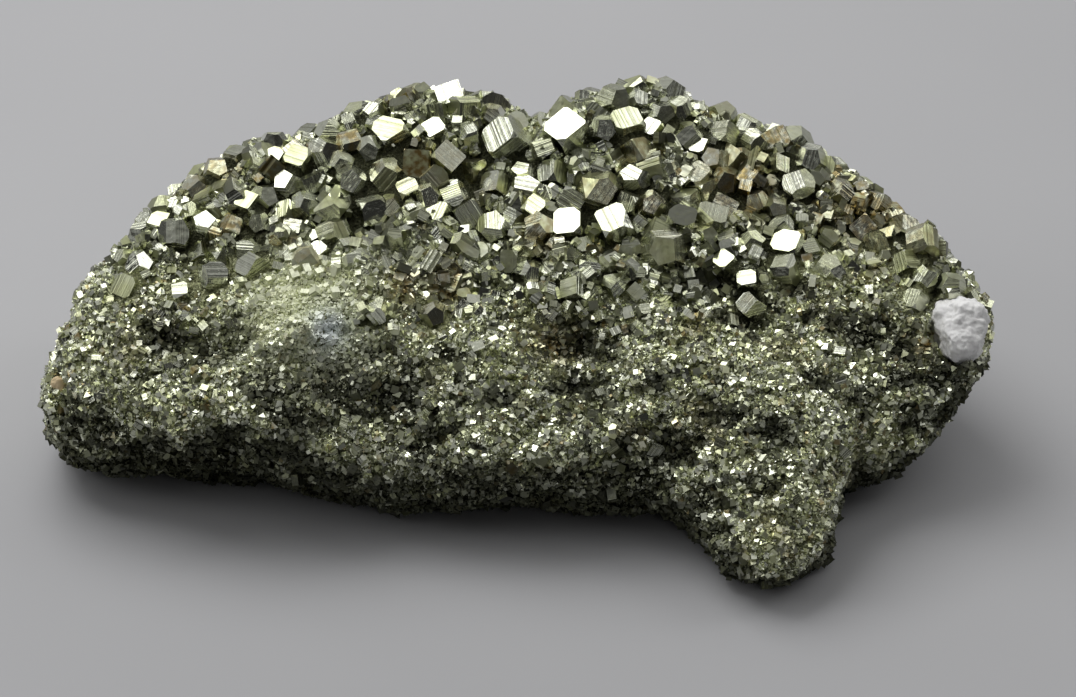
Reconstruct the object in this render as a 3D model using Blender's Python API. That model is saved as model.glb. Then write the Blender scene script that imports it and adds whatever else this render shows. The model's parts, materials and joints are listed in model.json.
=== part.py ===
"""Pyrite cluster: a hand specimen of intergrown pyrite with one lump of white gangue in its right end.

The mass is a loft through cross-sections that run from the left end to the right end. Its relief is
pushed out and in by named bulges and hollows and by rock noise, and its low points are flattened where
it rests. Crystals with flat faces are grown from the upper slope and fused to it.
Lengths in the tables are millimetres. X runs along the specimen, Y from front to back, Z up.
"""

import math
import random

import bmesh
import bpy
import numpy as np
from mathutils import Matrix, Vector, noise
from mathutils.bvhtree import BVHTree

MM = 0.001

# How deep the low points are worn off where it rests, and how near to that plane they are made flat
REST_SINK = 0.9
REST_SNAP = 0.12

# How far each end is domed beyond its last section
END_DOME = 1.2

# Points in each span of a ring, rings along the mass, and the share of faces kept afterwards
SPAN_STEPS = (4, 5, 8, 10, 10, 12, 9, 10, 8)
RING_COUNT = 110
MASS_SHARE = 0.128

# Each section: x, then (y, z) of foot, sill, belly, front, brow, shelf, crest, back and heel
SECTIONS = [
    (-74.5, (-1, 7), (-5, 9), (-8, 13), (-9, 17), (-7, 20), (-1, 22), (5, 20), (8, 14), (5, 8)),
    (-70.0, (1, 1), (-4, 3), (-11, 12), (-12, 18), (-9, 23), (-3, 26), (5, 27), (15, 20), (14, 3)),
    (-64.0, (0, 0), (-5, 3), (-14, 13), (-15, 20), (-10, 26), (-1, 30), (11, 31), (23, 21), (21, 1)),
    (-55.0, (-2, 0), (-7, 3), (-15, 14), (-17, 21), (-11, 28), (3, 32), (23, 36), (33, 23), (31, 0)),
    (-44.0, (-4, 0), (-9, 3), (-16, 15), (-18, 22), (-11, 29), (6, 34), (29, 42), (37, 25), (34, 0)),
    (-34.0, (-6, 0), (-12, 3), (-18, 13), (-18, 23), (-10, 31), (8, 36), (31, 43), (39, 26), (35, 0)),
    (-24.0, (-6, 1), (-15, 3), (-20, 13), (-17, 24), (-8, 31), (11, 38), (36, 45), (41, 27), (36, 0)),
    (-12.0, (-6, 2), (-16, 4), (-22, 17), (-16, 25), (-5, 31), (13, 39), (37, 46), (42, 28), (37, 0)),
    (2.0, (-7, 2), (-17, 4), (-22, 18), (-15, 25), (-4, 31), (13, 39), (33, 45), (41, 28), (37, 0)),
    (16.0, (-8, 2), (-18, 4), (-22, 18), (-16, 25), (-5, 31), (13, 40), (36, 47), (42, 28), (37, 0)),
    (24.0, (-13, 2), (-22, 5), (-25, 14), (-20, 23), (-8, 30), (12, 39), (37, 46), (41, 28), (36, 0)),
    (30.0, (-22, 0), (-29, 3), (-32, 8), (-26, 18), (-11, 29), (12, 37), (35, 44), (40, 27), (36, 0)),
    (36.5, (-27, 0), (-34, 3), (-37, 8), (-28, 18), (-12, 28), (11, 36), (32, 42), (39, 27), (35, 0)),
    (43.0, (-24, 0), (-31, 3), (-34, 8), (-27, 18), (-11, 28), (10, 34), (29, 41), (38, 26), (34, 0)),
    (47.0, (-19, 0), (-26, 3), (-29, 9), (-23, 18), (-10, 28), (9, 33), (27, 40), (37, 26), (33, 0)),
    (49.5, (-8, 0), (-14, 4), (-18, 10), (-17, 19), (-9, 27), (7, 32), (26, 39), (36, 25), (32, 0)),
    (55.5, (0, 1), (-9, 4), (-15, 10), (-14, 19), (-8, 27), (5, 31), (23, 37), (33, 24), (29, 0)),
    (62.5, (6, 3), (-3, 6), (-11, 12), (-12, 19), (-8, 26), (2, 30), (15, 34), (24, 23), (21, 4)),
    (68.5, (8, 11), (1, 12), (-6, 17), (-8, 21), (-6, 26), (0, 29), (9, 31), (16, 24), (13, 13)),
    (72.8, (5, 19), (1, 20), (-2, 22), (-3, 25), (0, 27), (3, 28), (6, 27), (8, 25), (8, 21)),
]

# Bulges (height above 0) and hollows (below 0): x, y, z of the centre, reach, height
RELIEF = [
    (-52, -7, 27, 6.5, -3.2),
    (-44, -8, 29, 4.5, -2.8),
    (-50, -14, 22, 7, 2.0),
    (-64, -14, 20, 4, -1.5),
    (-35, -12, 30, 8, 2.5),
    (-27, -16, 26, 6, -3.2),
    (-17, -17, 22, 6, -1.8),
    (-34, -20, 22, 7, 1.5),
    (-44, -18, 16, 6, -2.0),
    (-9, -14, 26, 8, 1.8),
    (8, -6, 27, 4.5, -3.0),
    (10, -12, 23, 5, -3.2),
    (20, -12, 27, 7, 2.0),
    (27, -17, 25, 4, -2.0),
    (23, -22, 19, 6, -2.5),
    (31, -20, 23, 3, -2.2),
    (39, -22, 22, 4, -2.0),
    (44, -13, 26, 6, -1.2),
    (46, -5, 30, 4, -1.8),
    (46, 2, 32, 6, 1.5),
    (54, -6, 28, 5, -2.8),
    (61, -11, 18, 4, -2.0),
    (66, -8, 20, 4, -2.0),
    (31, -28, 16, 5, -1.5),
    (37, -35, 11, 7, 1.0),
    (-8, 0, 33, 4, -2.0),
    (27, 1, 34, 4, -2.0),
    (36, 20, 37, 7, -3.2),
    (55, 17, 34, 6, -2.8),
    (2, 33, 45, 5, -2.2),
    (-37, 30, 43, 6, -1.5),
    (-20, 37, 22, 12, 2.0),
    (14, 40, 24, 8, -2.5),
    (38, 36, 20, 11, 2.0),
    (-12, 8, 0, 19, -6.0),
    (-44, 12, 0, 12, -4.5),
    (22, 3, 0, 15, -6.0),
    (40, 12, 0, 10, -4.0),
    (58, 14, 0, 9, -3.0),
]

MASS_COLOUR = (0.42, 0.39, 0.25, 1.0)
WHITE_COLOUR = (0.72, 0.70, 0.69, 1.0)

# White gangue lump: centre, half-sizes and gap to the pyrite
WHITE_CENTRE = (68.0, -1.8, 26.8)
WHITE_HALF = (4.9, 5.8, 5.6)
SEAT_GAP = 0.35

# Pyrite forms: face normals of the cube, the pyritohedron and the octahedron
CUBE_FACES = [Vector(n) for n in ((1, 0, 0), (0, 1, 0), (0, 0, 1))]
PYRITOHEDRON_FACES = [
    Vector(n).normalized()
    for n in ((2, 1, 0), (2, -1, 0), (0, 2, 1), (0, 2, -1), (1, 0, 2), (-1, 0, 2))
]
OCTAHEDRON_FACES = [
    Vector(n).normalized() for n in ((1, 1, 1), (1, 1, -1), (1, -1, 1), (-1, 1, 1))
]

# Habit: its forms, each with the distance of the faces from the centre in crystal radii
HABITS = {
    "block": ((CUBE_FACES, 0.80), (OCTAHEDRON_FACES, 1.24)),
    "pentagon": ((PYRITOHEDRON_FACES, 0.93),),
    "blunt": ((PYRITOHEDRON_FACES, 0.96), (CUBE_FACES, 0.92)),
}
MAIN_FACE = {
    "block": CUBE_FACES[2],
    "pentagon": PYRITOHEDRON_FACES[4],
    "blunt": CUBE_FACES[2],
}

# Where the main face of a crystal looks
FACINGS = {
    "up": Vector((-0.22, -0.29, 0.93)),
    "front": Vector((0.05, -0.80, 0.60)),
    "left": Vector((-0.60, -0.35, 0.72)),
    "right": Vector((0.60, -0.35, 0.72)),
}

# The crystals that stand out: x, y, radius, habit and facing. Each drops onto the mass from above
STANDING = [
    (-63, 11, 1.7, "pentagon", "left"),
    (-57.5, 16, 1.9, "block", "up"),
    (-53.5, 2.5, 1.6, "block", "up"),
    (-52, 21, 2.2, "pentagon", "front"),
    (-51, 9.5, 1.8, "block", "left"),
    (-46, 28, 2.0, "blunt", "left"),
    (-43.5, 16, 2.0, "block", "up"),
    (-42.5, 5.5, 2.4, "block", "left"),
    (-42, 13, 2.1, "pentagon", "front"),
    (-39.5, 24.5, 1.8, "block", "up"),
    (-35.5, 23, 2.4, "block", "up"),
    (-34.5, 16, 2.3, "pentagon", "left"),
    (-32, 7, 1.7, "block", "up"),
    (-31, 29.5, 2.2, "pentagon", "left"),
    (-29, 22.5, 2.1, "pentagon", "left"),
    (-27.5, 19, 2.6, "pentagon", "front"),
    (-25.5, 1.5, 2.0, "block", "left"),
    (-24.5, 24.5, 2.1, "pentagon", "left"),
    (-24, 32, 1.9, "pentagon", "up"),
    (-21, 27, 2.9, "block", "up"),
    (-21, 14.5, 2.1, "pentagon", "front"),
    (-18, 37, 2.2, "blunt", "right"),
    (-18, 17, 2.0, "block", "up"),
    (-17, 22, 2.8, "block", "front"),
    (-15, 16, 2.2, "pentagon", "front"),
    (-14, 28, 2.1, "block", "up"),
    (-11.5, 34, 2.6, "block", "up"),
    (-8.5, 14, 2.5, "block", "front"),
    (-5, 30.5, 2.2, "pentagon", "front"),
    (-4.5, 19, 2.1, "block", "left"),
    (-2.5, 26, 3.4, "block", "left"),
    (0, 20.5, 2.0, "pentagon", "up"),
    (1, 3.5, 2.0, "pentagon", "left"),
    (2, 13.5, 2.1, "block", "up"),
    (3, 33, 2.1, "blunt", "right"),
    (4.5, 20, 2.2, "block", "left"),
    (7, 26, 3.5, "block", "up"),
    (8, 0.5, 2.1, "block", "left"),
    (12, 16.5, 3.4, "pentagon", "front"),
    (13, 27, 2.3, "pentagon", "front"),
    (14.5, 33, 2.8, "pentagon", "left"),
    (14.5, 10.5, 3.0, "block", "up"),
    (14.5, 1.5, 2.1, "pentagon", "left"),
    (17.5, 18, 2.5, "pentagon", "up"),
    (18, 23, 2.3, "block", "right"),
    (20, 14, 2.3, "pentagon", "front"),
    (20.5, 27, 1.9, "block", "up"),
    (22, 31, 2.2, "pentagon", "left"),
    (22, 6, 3.3, "pentagon", "front"),
    (28, 25.5, 1.7, "block", "up"),
    (31.5, 22, 2.5, "pentagon", "left"),
    (31.5, 17, 2.5, "block", "front"),
    (31.5, 4.5, 1.8, "block", "up"),
    (32, 29, 2.2, "block", "left"),
    (35, 2, 1.8, "block", "up"),
    (35.5, -1.5, 2.0, "block", "left"),
    (36, 9.5, 2.0, "pentagon", "left"),
    (37, 19, 2.1, "pentagon", "right"),
    (37, 28.5, 2.2, "blunt", "left"),
    (40.5, 24.5, 1.9, "block", "right"),
    (41.5, 9.5, 2.6, "block", "up"),
    (45.5, 26.5, 2.7, "pentagon", "front"),
    (50.5, 22, 2.2, "pentagon", "left"),
    (54, 17.5, 2.2, "block", "front"),
    (56.5, 22, 2.0, "blunt", "left"),
    (60.5, 16, 2.3, "block", "right"),
    (61.5, 2.5, 1.9, "block", "left"),
    (60.5, 8.5, 1.9, "block", "right"),
    (63, 11.5, 2.7, "blunt", "left"),
    (63.5, 6, 2.1, "pentagon", "front"),
    (67, 5, 2.4, "pentagon", "front"),
]

# The crystals between and behind them: how many, the largest and smallest radius,
# and the least distance between two centres as a share of their radii
SEED = 20
SCATTERED = 62
SCATTERED_RADII = (2.8, 1.9)
CLOSEST = 0.62
MOST_TRIES = 20000

# Faces that meet flatter than this are one crystal face
FLAT_ANGLE = math.radians(0.5)


def clear_scene():
    for item in list(bpy.data.objects):
        bpy.data.objects.remove(item)


def collection_named(name):
    made = bpy.data.collections.new(name)
    bpy.context.scene.collection.children.link(made)
    return made


def material_named(name, colour, metallic, roughness):
    made = bpy.data.materials.new(name)
    made.use_nodes = True
    shader = made.node_tree.nodes["Principled BSDF"]
    shader.inputs["Base Color"].default_value = colour
    shader.inputs["Metallic"].default_value = metallic
    shader.inputs["Roughness"].default_value = roughness
    return made


def hermite(points, knots, at, closed):
    """Points on the smooth curve that passes through points at their knots."""
    count = len(points)
    period = knots[-1]
    found = []
    for value in at:
        i = min(int(np.searchsorted(knots, value, side="right")) - 1, len(knots) - 2)
        span = knots[i + 1] - knots[i]
        t = (value - knots[i]) / span
        p0 = points[i % count]
        p1 = points[(i + 1) % count]
        m0 = tangent(points, knots, i, closed, period)
        m1 = tangent(points, knots, i + 1, closed, period)
        found.append(
            (2 * t**3 - 3 * t**2 + 1) * p0
            + (t**3 - 2 * t**2 + t) * span * m0
            + (3 * t**2 - 2 * t**3) * p1
            + (t**3 - t**2) * span * m1
        )
    return np.array(found)


def tangent(points, knots, i, closed, period):
    """Slope at knot i, weighted so that a short span isn't thrown by a long neighbour."""
    count = len(points)
    last = len(knots) - 1
    if not closed and i in (0, last):
        j = 0 if i == 0 else last - 1
        return (points[j + 1] - points[j]) / (knots[j + 1] - knots[j])
    before = knots[i] - knots[i - 1] if i > 0 else period - knots[-2]
    after = knots[i + 1] - knots[i] if i < last else knots[1]
    here = points[i % count]
    slope_in = (here - points[(i - 1) % count]) / before
    slope_out = (points[(i + 1) % count] - here) / after
    return (slope_in * after + slope_out * before) / (before + after)


def section_ring(section):
    """One cross-section as a closed smooth ring, with a fixed number of points in each span."""
    corners = np.array(section[1:], float)
    chords = np.linalg.norm(np.roll(corners, -1, axis=0) - corners, axis=1)
    knots = np.concatenate([[0], np.cumsum(chords)])
    at = []
    for i, steps in enumerate(SPAN_STEPS):
        at += [knots[i] + chords[i] * k / steps for k in range(steps)]
    ring = hermite(corners, knots, at, closed=True)
    return np.column_stack([np.full(len(ring), section[0]), ring])


def lofted_mass():
    """The closed surface through all the sections, as a bmesh in millimetres."""
    rings = np.array([section_ring(s) for s in SECTIONS])
    knots = np.array([s[0] for s in SECTIONS])
    stations = np.linspace(knots[0], knots[-1], RING_COUNT)
    surface = hermite(rings, knots, stations, closed=False)
    bm = bmesh.new()
    rows = [[bm.verts.new(p) for p in ring] for ring in surface]
    around = len(rows[0])
    for left, right in zip(rows, rows[1:]):
        for j in range(around):
            k = (j + 1) % around
            bm.faces.new((left[j], left[k], right[k], right[j]))
    for row, outward in ((rows[0], -1), (rows[-1], 1)):
        middle = sum((v.co for v in row), Vector()) / around
        pole = bm.verts.new(middle + Vector((END_DOME * outward, 0, 0)))
        for j in range(around):
            bm.faces.new((row[j], row[(j + 1) % around], pole))
    bmesh.ops.recalc_face_normals(bm, faces=bm.faces)
    return bm


def relief_height(point):
    """How far the surface at this point stands out from the plain loft."""
    height = 0.0
    for x, y, z, reach, rise in RELIEF:
        distance = (point - Vector((x, y, z))).length
        height += rise * math.exp(-((distance / reach) ** 2))
    height += 1.3 * noise.fractal(point / 15.0, 1.0, 2.0, 2)
    height += 1.1 * noise.fractal(point / 5.5 + Vector((7, 3, 1)), 0.8, 2.1, 2)
    return height


def roughen(bm):
    bm.normal_update()
    moved = [v.co + v.normal * relief_height(v.co) for v in bm.verts]
    for vert, place in zip(bm.verts, moved):
        vert.co = place
        vert.co.z = max(place.z - REST_SINK, 0.0)


def evaluated_bmesh(source):
    """The mesh of the object with its modifiers applied."""
    graph = bpy.context.evaluated_depsgraph_get()
    mesh = bpy.data.meshes.new_from_object(source.evaluated_get(graph))
    bm = bmesh.new()
    bm.from_mesh(mesh)
    return bm


def thinned(bm, collection):
    """The mass with fewer faces, kept where the relief needs them and flat where it rests."""
    dense = object_from(bm, "dense_mass", collection, None)
    dense.hide_render = True
    dense.display_type = "WIRE"
    thin = dense.modifiers.new("fewer faces", "DECIMATE")
    thin.ratio = MASS_SHARE
    fewer = evaluated_bmesh(dense)
    bmesh.ops.scale(fewer, vec=(1.0 / MM,) * 3, verts=fewer.verts)
    for vert in fewer.verts:
        if vert.co.z < REST_SNAP:
            vert.co.z = 0.0
    bmesh.ops.triangulate(fewer, faces=fewer.faces)
    fewer.normal_update()
    return fewer


def object_from(bm, name, collection, finish, scale=MM):
    bmesh.ops.scale(bm, vec=(scale,) * 3, verts=bm.verts)
    mesh = bpy.data.meshes.new(name)
    bm.to_mesh(mesh)
    bm.free()
    made = bpy.data.objects.new(name, mesh)
    if finish:
        made.data.materials.append(finish)
    collection.objects.link(made)
    return made


def grind(bm, normal, distance):
    """Cuts the crystal off at a face plane and closes it there."""
    everything = bm.verts[:] + bm.edges[:] + bm.faces[:]
    cut = bmesh.ops.bisect_plane(
        bm, geom=everything, plane_co=normal * distance, plane_no=normal, clear_outer=True
    )
    rim = [e for e in cut["geom_cut"] if isinstance(e, bmesh.types.BMEdge)]
    if len(rim) > 2:
        bmesh.ops.edgeloop_fill(bm, edges=rim)


def crystal(habit, radius, rng):
    """A closed pyrite crystal about the origin, its faces at slightly unequal distances as they grow."""
    bm = bmesh.new()
    bmesh.ops.create_cube(bm, size=4.0)
    for faces, distance in HABITS[habit]:
        for normal in faces:
            for side in (1, -1):
                grind(bm, normal * side, distance * rng.uniform(0.93, 1.07))
    bmesh.ops.remove_doubles(bm, verts=bm.verts, dist=0.04)
    bmesh.ops.scale(bm, vec=(radius,) * 3, verts=bm.verts)
    return bm


def turned_to(facing, habit, rng):
    """Turns the main face of the habit towards facing, and the crystal about that by chance."""
    main = MAIN_FACE[habit]
    spin = Matrix.Rotation(rng.uniform(0, 2 * math.pi), 4, main)
    return main.rotation_difference(facing).to_matrix().to_4x4() @ spin


def coarseness(point):
    """1 on the upper slope where large crystals grew, falling to 0 down the front, back and underside."""
    height_on_slope = 0.59 * point.y + 0.81 * point.z
    rise = (height_on_slope - 19.0) / 12.0
    above_heel = (point.z - 27.0) / 10.0
    return max(0.0, min(1.0, rise, above_heel))


def standing_crystals(bm, rng):
    """The listed crystals as (centre, radius, habit, turn)."""
    tree = BVHTree.FromBMesh(bm)
    placed = []
    for x, y, radius, habit, facing in STANDING:
        point, normal, _, _ = tree.ray_cast(Vector((x, y, 100.0)), Vector((0, 0, -1)))
        turn = turned_to(FACINGS[facing], habit, rng)
        placed.append((point + normal * radius * 0.1, radius, habit, turn))
    return placed


def scattered_crystals(bm, standing, rng):
    """Crystals by chance where the mass is coarse, clear of those that are listed."""
    bm.faces.ensure_lookup_table()
    weights = [f.calc_area() * coarseness(f.calc_center_median()) ** 1.5 for f in bm.faces]
    totals = np.cumsum(weights)
    largest, smallest = SCATTERED_RADII
    placed = []
    for _ in range(MOST_TRIES):
        index = int(np.searchsorted(totals, rng.random() * totals[-1] * 0.99999))
        face = bm.faces[index]
        corners = [v.co for v in face.verts]
        a, b = sorted((rng.random(), rng.random()))
        point = corners[0] * a + corners[1] * (b - a) + corners[2] * (1 - b)
        radius = largest + (smallest - largest) * len(placed) / SCATTERED
        centre = point + face.normal * radius * rng.uniform(-0.1, 0.2)
        taken = [(c - centre).length < CLOSEST * (r + radius) for c, r, _, _ in standing + placed]
        if any(taken):
            continue
        habit = rng.choice(list(HABITS))
        facing = Vector([rng.gauss(0, 1) for _ in range(3)]).normalized()
        placed.append((centre, radius, habit, turned_to(facing, habit, rng)))
        if len(placed) == SCATTERED:
            break
    return placed


def white_lump(name, collection, finish, grown_by):
    """The white gangue lump, or with grown_by the seat that it needs in the pyrite."""
    bm = bmesh.new()
    bmesh.ops.create_icosphere(bm, subdivisions=3, radius=1.0)
    for vert in bm.verts:
        direction = vert.co.normalized()
        bump = 1.0 + 0.25 * noise.fractal(direction * 1.6 + Vector((4, 9, 2)), 0.9, 2.0, 3)
        reach = Vector(WHITE_HALF) * bump + Vector((grown_by,) * 3)
        vert.co = Vector(WHITE_CENTRE) + direction * reach
    return object_from(bm, name, collection, finish)


def evaluated_copy(source, name, collection, finish):
    """The object with its modifiers applied, as a new mesh object without loose inner shells."""
    bm = evaluated_bmesh(source)
    keep = largest_shell(bm)
    bmesh.ops.delete(bm, geom=[v for v in bm.verts if v not in keep], context="VERTS")
    bmesh.ops.dissolve_limit(
        bm, angle_limit=FLAT_ANGLE, verts=bm.verts, edges=bm.edges, use_dissolve_boundaries=False
    )
    bmesh.ops.triangulate(bm, faces=bm.faces)
    return object_from(bm, name, collection, finish, scale=1.0)


def largest_shell(bm):
    left = set(bm.verts)
    largest = set()
    while left:
        shell = set()
        front = [left.pop()]
        while front:
            vert = front.pop()
            shell.add(vert)
            for edge in vert.link_edges:
                other = edge.other_vert(vert)
                if other in left:
                    left.discard(other)
                    front.append(other)
        if len(shell) > len(largest):
            largest = shell
    return largest


def centre_on_footprint(objects):
    """Moves the meshes so that the origin is the bottom centre of their common box."""
    corners = [o.matrix_world @ Vector(c) for o in objects for c in o.bound_box]
    low = Vector(min(c[i] for c in corners) for i in range(3))
    high = Vector(max(c[i] for c in corners) for i in range(3))
    shift = Vector((-(low.x + high.x) / 2, -(low.y + high.y) / 2, -low.z))
    for item in objects:
        item.data.transform(Matrix.Translation(shift))


def main():
    clear_scene()
    specimen = collection_named("pyrite_cluster")
    growths = collection_named("growths")
    helpers = collection_named("helpers")
    growths.hide_render = True
    helpers.hide_render = True
    rng = random.Random(SEED)
    pyrite = material_named("pyrite", MASS_COLOUR, 1.0, 0.25)
    white = material_named("white_gangue", WHITE_COLOUR, 0.0, 0.8)

    dense = lofted_mass()
    roughen(dense)
    bm = thinned(dense, helpers)
    standing = standing_crystals(bm, rng)
    scattered = scattered_crystals(bm, standing, rng)
    rough = object_from(bm, "rough_mass", helpers, pyrite)
    rough.display_type = "WIRE"

    for i, (centre, radius, habit, turn) in enumerate(standing + scattered):
        body = crystal(habit, radius, rng)
        bmesh.ops.transform(body, matrix=Matrix.Translation(centre) @ turn, verts=body.verts)
        made = object_from(body, f"crystal_{i:03d}", growths, None)
        made.hide_render = True
        made.display_type = "WIRE"

    fuse = rough.modifiers.new("fuse crystals", "BOOLEAN")
    fuse.operation = "UNION"
    fuse.solver = "EXACT"
    fuse.operand_type = "COLLECTION"
    fuse.collection = growths

    seat = white_lump("white_seat", helpers, None, SEAT_GAP)
    seat.hide_render = True
    seat.display_type = "WIRE"
    carve = rough.modifiers.new("seat of the white lump", "BOOLEAN")
    carve.operation = "DIFFERENCE"
    carve.solver = "EXACT"
    carve.object = seat

    mass = evaluated_copy(rough, "pyrite_mass", specimen, pyrite)
    rough.hide_render = True
    lump = white_lump("white_gangue", specimen, white, 0.0)
    centre_on_footprint([mass, lump])


main()
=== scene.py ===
"""Pyrite cluster: the looks of the specimen, built around its fixed solids.

The rough mass gets a bed with fine relief, and every crystal on it is real mesh: the large crystals of
the solid with their striated faces, more large ones between them, medium crystals around them, and
fine druse on the front, back and underside. The white lump is a broken piece of a dull mineral, and a
grain of tan stone is grown into the left end.
Lengths are millimetres from the specimen's datum until a mesh is made.
"""

import json
import math

import bmesh
import bpy
import numpy as np
from mathutils import Matrix, Vector, noise
from mathutils.bvhtree import BVHTree

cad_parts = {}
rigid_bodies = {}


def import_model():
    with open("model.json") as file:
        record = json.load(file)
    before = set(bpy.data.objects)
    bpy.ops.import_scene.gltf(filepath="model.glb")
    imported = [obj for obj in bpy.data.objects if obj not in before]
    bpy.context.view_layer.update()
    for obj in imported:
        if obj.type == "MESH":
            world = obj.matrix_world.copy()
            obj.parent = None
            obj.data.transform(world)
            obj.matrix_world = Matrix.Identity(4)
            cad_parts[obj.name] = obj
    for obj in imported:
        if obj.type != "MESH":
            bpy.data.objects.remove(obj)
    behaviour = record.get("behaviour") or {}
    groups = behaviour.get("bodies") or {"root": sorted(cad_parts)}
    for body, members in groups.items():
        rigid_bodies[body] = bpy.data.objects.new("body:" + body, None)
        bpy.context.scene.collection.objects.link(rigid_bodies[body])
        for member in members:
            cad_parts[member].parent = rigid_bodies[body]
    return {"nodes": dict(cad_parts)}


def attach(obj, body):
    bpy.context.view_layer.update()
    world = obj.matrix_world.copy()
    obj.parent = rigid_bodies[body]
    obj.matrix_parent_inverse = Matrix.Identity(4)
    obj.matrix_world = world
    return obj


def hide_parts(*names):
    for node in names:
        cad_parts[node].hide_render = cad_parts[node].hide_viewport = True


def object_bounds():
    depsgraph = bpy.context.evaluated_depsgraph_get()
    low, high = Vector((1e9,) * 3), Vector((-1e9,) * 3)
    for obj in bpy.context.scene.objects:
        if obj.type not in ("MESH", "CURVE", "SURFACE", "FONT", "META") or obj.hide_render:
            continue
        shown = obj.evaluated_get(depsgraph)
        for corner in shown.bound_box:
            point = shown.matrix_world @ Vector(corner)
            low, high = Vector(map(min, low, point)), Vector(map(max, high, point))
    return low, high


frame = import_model()
cad_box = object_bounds()

MM = 0.001

# Where the specimen's datum lies in the frame
DATUM = np.array((1.175, -3.229, 0.0))

# Width and height of the photograph in pixels
PHOTO_SIZE = (1076, 697)

# Camera: height above the horizon, distance, focal length, sensor, and the point that it looks at
CAMERA_ELEVATION = math.radians(36.0)
CAMERA_DISTANCE = 600.0
CAMERA_LENS = 127.5
CAMERA_SENSOR = 36.0
CAMERA_AIM = (2.3, 0.0, 22.0)

# Lights: direction that they come from, width, height, distance and radiance at the source
LIGHTS = {
    "key": ((-0.35, 0.35, 0.87), 440.0, 400.0, 560.0, 3.2),
    "strip_left": ((-0.88, -0.12, 0.42), 130.0, 420.0, 620.0, 1.9),
    "strip_right": ((0.80, 0.20, 0.55), 150.0, 420.0, 620.0, 1.9),
    "strip_back": ((0.25, 0.85, 0.42), 420.0, 130.0, 620.0, 1.9),
    "fill_front": ((0.15, -0.72, 0.50), 120.0, 120.0, 620.0, 1.4),
}

# Soft glow of the studio: where it is brightest, its strength there and its strength in the dark part
GLOW_FROM = (-0.15, 0.45, 0.88)
GLOW_RANGE = (0.15, 0.85)
GLOW_STRENGTH = 0.52
DARK_STRENGTH = 0.028
FLOOR_SIDE = 4000.0

# Angles between neighbouring faces of the cube, the pyritohedron and the octahedron, in degrees
CRYSTAL_ANGLES = (90.0, 53.13, 66.42, 54.74, 26.57, 63.43)
ANGLE_SLACK = 0.25
FLAT_ANGLE = 0.3

# Fewest corners of a whole crystal of the solid, and the angle below which its triangles are one face
FEWEST_CORNERS = 5
ONE_FACE_ANGLE = 1.0

# The number that stands for no crystal
ROCK = -1

# Bed: voxel size, smoothing, how far it stands out of the rock, and how far it stays under crystal faces
BED_VOXEL = 0.92
BED_SMOOTHING = 5
BED_RISE = 0.15
BED_UNDER_FACES = 0.45
REST_CLEARANCE = 0.25

# Relief of the rock: size and height of its swells, ledges and lumps
SWELLS = (5.5, 0.7)
LEDGES = (2.6, 0.9)
LUMPS = (2.4, 0.7)

# How the places are squeezed before the noise of the ledges is read, so that they are long and low
LEDGE_SQUEEZE = np.array((0.42, 0.9, 1.25))

# Upwards in the photograph, as parts of y and z
UP_Y = 0.59
UP_Z = 0.81

# The lower edge of the coarse crystals, as height up the slope at each x
EDGE_X = (-72.0, -55.0, -42.0, -30.0, -20.0, 5.0, 27.0, 46.0, 68.0)
EDGE_HEIGHT = (31.0, 30.5, 31.0, 31.0, 28.5, 24.0, 27.5, 32.0, 30.5)

# Where the coarse crystals begin and are dense: up the slope from their lower edge, and in height
COARSE_EDGE = (-0.5, 3.0)
COARSE_HEIGHT = (25.0, 31.0)

# Where a surface begins to count as the front and does so fully, and the same for an overhang
FRONT_FACING = (-0.35, 0.10)
OVERHANG_FACING = (0.05, -0.40)
UNDERCUT_BORDER = (1.0, -1.0)

# Where medium crystals grow: below the coarse edge, at the left end, there by height, and over the crest
MEDIUM_EDGE = (-9.0, -1.0)
LEFT_END = (-40.0, -56.0)
LEFT_HEIGHT = (16.0, 28.0)
LEFT_SHARE = (0.25, 0.8)
CREST_HEIGHT = (20.0, 29.0)
LARGE_GRAINED_SHARE = 0.4

# The lower edge of the lit front, above the dark undercut, as height up the slope at each x
UNDERCUT_X = (-73.0, -58.0, -40.0, -35.0, -25.0, -12.0, 5.0, 17.0, 22.0, 28.0, 33.0, 44.0, 50.0, 58.0)
UNDERCUT_HEIGHT = (3.0, 1.0, 0.5, -4.5, -3.0, -0.2, -0.7, 0.8, -4.0, -8.0, -17.5, -16.0, -3.0, 0.0)

# The grain of tan stone at the left end: centre and half its length along each axis
TAN_GRAIN = (-72.6, -7.3, 20.3)
TAN_GRAIN_HALF = (1.1, 0.9, 1.5)

# Places of their own: centre and reach
FINEST_PATCH = ((-34.0, -3.5, 33.0), 9.5)
PALE_PATCH = ((-30.0, -8.6, 31.8), 3.4)
OTHER_STAINS = (
    ((34.0, 21.0, 39.0), 6.0),
    ((55.0, 19.0, 36.0), 6.0),
    ((62.6, -5.4, 27.0), 2.6),
    ((5.0, -6.0, 27.0), 4.0),
)
LARGE_GRAINED = (
    ((31.0, -33.0, 8.0), 5.0),
    ((-8.0, -6.0, 29.0), 9.0),
    ((14.0, -20.0, 20.0), 6.0),
)
OTHER_RECESSES = (
    ((9.0, -5.5, 27.5), 3.0),
    ((66.5, -7.6, 22.0), 3.2),
)

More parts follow.
